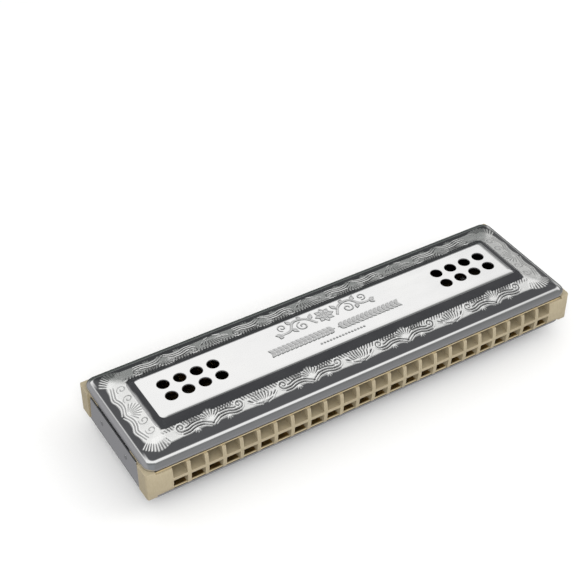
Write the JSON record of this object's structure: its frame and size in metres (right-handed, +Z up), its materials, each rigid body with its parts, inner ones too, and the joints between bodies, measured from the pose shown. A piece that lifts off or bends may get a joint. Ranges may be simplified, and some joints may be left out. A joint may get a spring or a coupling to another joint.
{
  "type": "harmonica",
  "caption": "Double-sided tremolo harmonica with a moulded comb, brass reed plates, free reeds and two embossed steel covers.",
  "frame": {"origin": "centre of the comb, which is the centre of the whole instrument", "axes": "+X along the length from the bass end to the treble end, -Y out of the front mouthpiece, +Z up through the upper cover"},
  "size_m": [0.1732, 0.0518, 0.025],
  "materials": {
    "comb_plastic": "satin moulded plastic",
    "plate_brass": "rolled brass sheet",
    "reed_brass": "bright brass strip",
    "rivet_brass": "bright brass",
    "nail_steel": "plain steel",
    "cover_steel": "polished pressed steel with embossed scrollwork"
  },
  "bodies": {
    "harmonica_body": {"comb": "comb_plastic", "front_upper_reed_plate": "plate_brass", "front_lower_reed_plate": "plate_brass", "back_upper_reed_plate": "plate_brass", "back_lower_reed_plate": "plate_brass", "front_upper_reed_roots": "reed_brass", "front_lower_reed_roots": "reed_brass", "back_upper_reed_roots": "reed_brass", "back_lower_reed_roots": "reed_brass", "front_upper_reed_rivets": "rivet_brass", "front_lower_reed_rivets": "rivet_brass", "back_upper_reed_rivets": "rivet_brass", "back_lower_reed_rivets": "rivet_brass", "front_upper_plate_nails": "nail_steel", "front_lower_plate_nails": "nail_steel", "back_upper_plate_nails": "nail_steel", "back_lower_plate_nails": "nail_steel", "upper_cover": "cover_steel", "lower_cover": "cover_steel", "left_cover_nails": "nail_steel", "right_cover_nails": "nail_steel"},
    "front_upper_blow_reeds_low": {"front_upper_blow_reeds_low": "reed_brass"},
    "front_upper_blow_reeds_mid": {"front_upper_blow_reeds_mid": "reed_brass"},
    "front_upper_blow_reeds_high": {"front_upper_blow_reeds_high": "reed_brass"},
    "front_upper_draw_reeds_low": {"front_upper_draw_reeds_low": "reed_brass"},
    "front_upper_draw_reeds_mid": {"front_upper_draw_reeds_mid": "reed_brass"},
    "front_upper_draw_reeds_high": {"front_upper_draw_reeds_high": "reed_brass"},
    "front_lower_blow_reeds_low": {"front_lower_blow_reeds_low": "reed_brass"},
    "front_lower_blow_reeds_mid": {"front_lower_blow_reeds_mid": "reed_brass"},
    "front_lower_blow_reeds_high": {"front_lower_blow_reeds_high": "reed_brass"},
    "front_lower_draw_reeds_low": {"front_lower_draw_reeds_low": "reed_brass"},
    "front_lower_draw_reeds_mid": {"front_lower_draw_reeds_mid": "reed_brass"},
    "front_lower_draw_reeds_high": {"front_lower_draw_reeds_high": "reed_brass"},
    "back_upper_blow_reeds_low": {"back_upper_blow_reeds_low": "reed_brass"},
    "back_upper_blow_reeds_mid": {"back_upper_blow_reeds_mid": "reed_brass"},
    "back_upper_blow_reeds_high": {"back_upper_blow_reeds_high": "reed_brass"},
    "back_upper_draw_reeds_low": {"back_upper_draw_reeds_low": "reed_brass"},
    "back_upper_draw_reeds_mid": {"back_upper_draw_reeds_mid": "reed_brass"},
    "back_upper_draw_reeds_high": {"back_upper_draw_reeds_high": "reed_brass"},
    "back_lower_blow_reeds_low": {"back_lower_blow_reeds_low": "reed_brass"},
    "back_lower_blow_reeds_mid": {"back_lower_blow_reeds_mid": "reed_brass"},
    "back_lower_blow_reeds_high": {"back_lower_blow_reeds_high": "reed_brass"},
    "back_lower_draw_reeds_low": {"back_lower_draw_reeds_low": "reed_brass"},
    "back_lower_draw_reeds_mid": {"back_lower_draw_reeds_mid": "reed_brass"},
    "back_lower_draw_reeds_high": {"back_lower_draw_reeds_high": "reed_brass"}
  },
  "joints": [
    {"name": "front_upper_blow_flex_low", "type": "hinge", "parent": "harmonica_body", "child": "front_upper_blow_reeds_low", "pos_m": [0, -0.0068, 0.00443], "axis": [-1, 0, 0], "range_deg": [-4, 4], "stiffness_Nm_per_rad": 0.002},
    {"name": "front_upper_blow_flex_mid", "type": "hinge", "parent": "harmonica_body", "child": "front_upper_blow_reeds_mid", "pos_m": [0, -0.0068, 0.00443], "axis": [-1, 0, 0], "range_deg": [-4, 4], "stiffness_Nm_per_rad": 0.002},
    {"name": "front_upper_blow_flex_high", "type": "hinge", "parent": "harmonica_body", "child": "front_upper_blow_reeds_high", "pos_m": [0, -0.0068, 0.00443], "axis": [-1, 0, 0], "range_deg": [-4, 4], "stiffness_Nm_per_rad": 0.002},
    {"name": "front_upper_draw_flex_low", "type": "hinge", "parent": "harmonica_body", "child": "front_upper_draw_reeds_low", "pos_m": [0, -0.019, 0.00588], "axis": [-1, 0, 0], "range_deg": [-4, 4], "stiffness_Nm_per_rad": 0.002},
    {"name": "front_upper_draw_flex_mid", "type": "hinge", "parent": "harmonica_body", "child": "front_upper_draw_reeds_mid", "pos_m": [0, -0.019, 0.00588], "axis": [-1, 0, 0], "range_deg": [-4, 4], "stiffness_Nm_per_rad": 0.002},
    {"name": "front_upper_draw_flex_high", "type": "hinge", "parent": "harmonica_body", "child": "front_upper_draw_reeds_high", "pos_m": [0, -0.019, 0.00588], "axis": [-1, 0, 0], "range_deg": [-4, 4], "stiffness_Nm_per_rad": 0.002},
    {"name": "front_lower_blow_flex_low", "type": "hinge", "parent": "harmonica_body", "child": "front_lower_blow_reeds_low", "pos_m": [0, -0.0068, -0.00443], "axis": [1, 0, 0], "range_deg": [-4, 4], "stiffness_Nm_per_rad": 0.002},
    {"name": "front_lower_blow_flex_mid", "type": "hinge", "parent": "harmonica_body", "child": "front_lower_blow_reeds_mid", "pos_m": [0, -0.0068, -0.00443], "axis": [1, 0, 0], "range_deg": [-4, 4], "stiffness_Nm_per_rad": 0.002},
    {"name": "front_lower_blow_flex_high", "type": "hinge", "parent": "harmonica_body", "child": "front_lower_blow_reeds_high", "pos_m": [0, -0.0068, -0.00443], "axis": [1, 0, 0], "range_deg": [-4, 4], "stiffness_Nm_per_rad": 0.002},
    {"name": "front_lower_draw_flex_low", "type": "hinge", "parent": "harmonica_body", "child": "front_lower_draw_reeds_low", "pos_m": [0, -0.019, -0.00588], "axis": [1, 0, 0], "range_deg": [-4, 4], "stiffness_Nm_per_rad": 0.002},
    {"name": "front_lower_draw_flex_mid", "type": "hinge", "parent": "harmonica_body", "child": "front_lower_draw_reeds_mid", "pos_m": [0, -0.019, -0.00588], "axis": [1, 0, 0], "range_deg": [-4, 4], "stiffness_Nm_per_rad": 0.002},
    {"name": "front_lower_draw_flex_high", "type": "hinge", "parent": "harmonica_body", "child": "front_lower_draw_reeds_high", "pos_m": [0, -0.019, -0.00588], "axis": [1, 0, 0], "range_deg": [-4, 4], "stiffness_Nm_per_rad": 0.002},
    {"name": "back_upper_blow_flex_low", "type": "hinge", "parent": "harmonica_body", "child": "back_upper_blow_reeds_low", "pos_m": [0, 0.0068, 0.00443], "axis": [1, 0, 0], "range_deg": [-4, 4], "stiffness_Nm_per_rad": 0.002},
    {"name": "back_upper_blow_flex_mid", "type": "hinge", "parent": "harmonica_body", "child": "back_upper_blow_reeds_mid", "pos_m": [0, 0.0068, 0.00443], "axis": [1, 0, 0], "range_deg": [-4, 4], "stiffness_Nm_per_rad": 0.002},
    {"name": "back_upper_blow_flex_high", "type": "hinge", "parent": "harmonica_body", "child": "back_upper_blow_reeds_high", "pos_m": [0, 0.0068, 0.00443], "axis": [1, 0, 0], "range_deg": [-4, 4], "stiffness_Nm_per_rad": 0.002},
    {"name": "back_upper_draw_flex_low", "type": "hinge", "parent": "harmonica_body", "child": "back_upper_draw_reeds_low", "pos_m": [0, 0.019, 0.00588], "axis": [1, 0, 0], "range_deg": [-4, 4], "stiffness_Nm_per_rad": 0.002},
    {"name": "back_upper_draw_flex_mid", "type": "hinge", "parent": "harmonica_body", "child": "back_upper_draw_reeds_mid", "pos_m": [0, 0.019, 0.00588], "axis": [1, 0, 0], "range_deg": [-4, 4], "stiffness_Nm_per_rad": 0.002},
    {"name": "back_upper_draw_flex_high", "type": "hinge", "parent": "harmonica_body", "child": "back_upper_draw_reeds_high", "pos_m": [0, 0.019, 0.00588], "axis": [1, 0, 0], "range_deg": [-4, 4], "stiffness_Nm_per_rad": 0.002},
    {"name": "back_lower_blow_flex_low", "type": "hinge", "parent": "harmonica_body", "child": "back_lower_blow_reeds_low", "pos_m": [0, 0.0068, -0.00443], "axis": [-1, 0, 0], "range_deg": [-4, 4], "stiffness_Nm_per_rad": 0.002},
    {"name": "back_lower_blow_flex_mid", "type": "hinge", "parent": "harmonica_body", "child": "back_lower_blow_reeds_mid", "pos_m": [0, 0.0068, -0.00443], "axis": [-1, 0, 0], "range_deg": [-4, 4], "stiffness_Nm_per_rad": 0.002},
    {"name": "back_lower_blow_flex_high", "type": "hinge", "parent": "harmonica_body", "child": "back_lower_blow_reeds_high", "pos_m": [0, 0.0068, -0.00443], "axis": [-1, 0, 0], "range_deg": [-4, 4], "stiffness_Nm_per_rad": 0.002},
    {"name": "back_lower_draw_flex_low", "type": "hinge", "parent": "harmonica_body", "child": "back_lower_draw_reeds_low", "pos_m": [0, 0.019, -0.00588], "axis": [-1, 0, 0], "range_deg": [-4, 4], "stiffness_Nm_per_rad": 0.002},
    {"name": "back_lower_draw_flex_mid", "type": "hinge", "parent": "harmonica_body", "child": "back_lower_draw_reeds_mid", "pos_m": [0, 0.019, -0.00588], "axis": [-1, 0, 0], "range_deg": [-4, 4], "stiffness_Nm_per_rad": 0.002},
    {"name": "back_lower_draw_flex_high", "type": "hinge", "parent": "harmonica_body", "child": "back_lower_draw_reeds_high", "pos_m": [0, 0.019, -0.00588], "axis": [-1, 0, 0], "range_deg": [-4, 4], "stiffness_Nm_per_rad": 0.002}
  ],
  "couplings": [
    {"joint": "front_lower_blow_flex_low", "follows": "front_upper_blow_flex_low", "ratio": 1},
    {"joint": "front_lower_blow_flex_mid", "follows": "front_upper_blow_flex_mid", "ratio": 1},
    {"joint": "front_lower_blow_flex_high", "follows": "front_upper_blow_flex_high", "ratio": 1},
    {"joint": "front_lower_draw_flex_low", "follows": "front_upper_draw_flex_low", "ratio": 1},
    {"joint": "front_lower_draw_flex_mid", "follows": "front_upper_draw_flex_mid", "ratio": 1},
    {"joint": "front_lower_draw_flex_high", "follows": "front_upper_draw_flex_high", "ratio": 1},
    {"joint": "back_lower_blow_flex_low", "follows": "back_upper_blow_flex_low", "ratio": 1},
    {"joint": "back_lower_blow_flex_mid", "follows": "back_upper_blow_flex_mid", "ratio": 1},
    {"joint": "back_lower_blow_flex_high", "follows": "back_upper_blow_flex_high", "ratio": 1},
    {"joint": "back_lower_draw_flex_low", "follows": "back_upper_draw_flex_low", "ratio": 1},
    {"joint": "back_lower_draw_flex_mid", "follows": "back_upper_draw_flex_mid", "ratio": 1},
    {"joint": "back_lower_draw_flex_high", "follows": "back_upper_draw_flex_high", "ratio": 1}
  ]
}
